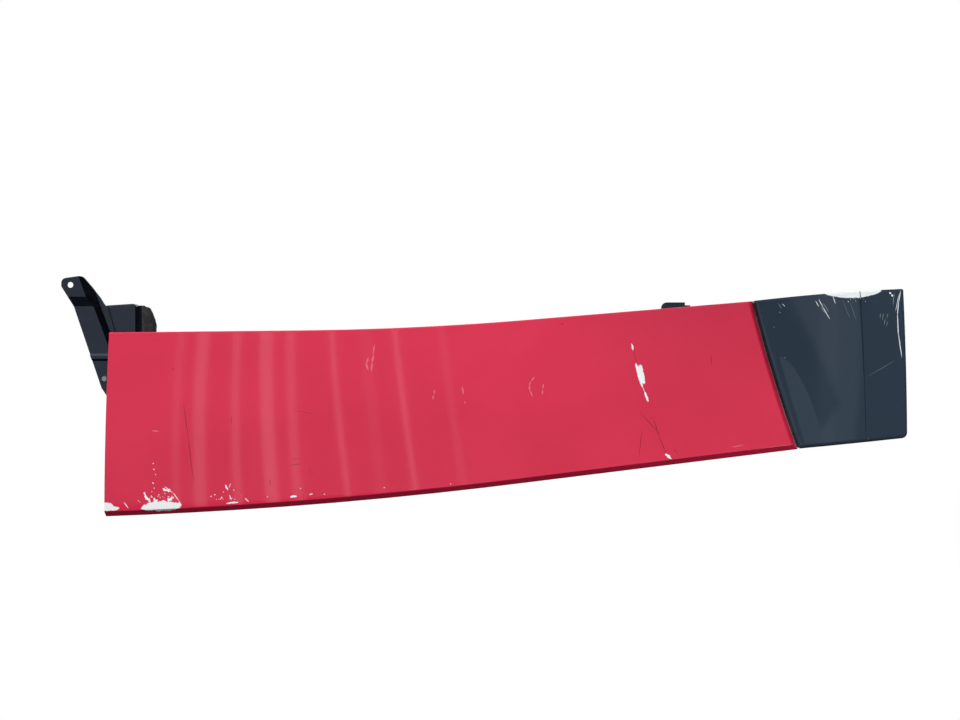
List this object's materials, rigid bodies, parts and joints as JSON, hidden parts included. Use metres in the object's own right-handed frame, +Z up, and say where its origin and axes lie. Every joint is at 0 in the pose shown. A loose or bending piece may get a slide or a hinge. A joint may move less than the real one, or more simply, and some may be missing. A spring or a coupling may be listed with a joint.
{
  "type": "truck cab side spoiler",
  "caption": "Long moulded side spoiler for a truck cab: painted red upper skin, dark grey lower end and pressed steel brackets that bolt it behind the side of the cab.",
  "frame": {"origin": "centre of the upper bracket's bolt hole, on the face that seats on the cab", "axes": "+X forward towards the cab, +Y in from the outer skin towards the vehicle, +Z up, as mounted on the right-hand side"},
  "size_m": [0.5323, 0.0635, 1.8697],
  "materials": {
    "red_paint": "red paint over white primer on moulded plastic, chipped at its lower rear corner",
    "grey_paint": "dark grey paint over white primer on moulded plastic, chipped at its front edge",
    "black_steel": "black dip coat on pressed steel",
    "plated_steel": "zinc plated",
    "brass": "turned",
    "foam": "closed-cell foam, rough"
  },
  "bodies": {
    "root": {"upper_panel": "red_paint", "lower_panel": "grey_paint", "seam_strip": "foam", "seam_bolts": "plated_steel", "seam_nuts": "plated_steel", "upper_bracket_base": "black_steel", "upper_bracket_arm": "black_steel", "arm_spacer": "plated_steel", "arm_bolts": "plated_steel", "arm_nuts": "plated_steel", "buffer_pad": "foam", "upper_bracket_bolts": "plated_steel", "upper_bracket_washers": "plated_steel", "upper_bracket_inserts": "brass", "lower_bracket": "black_steel", "lower_bracket_bolts": "plated_steel", "lower_bracket_washers": "plated_steel", "lower_bracket_inserts": "brass"}
  },
  "joints": []
}
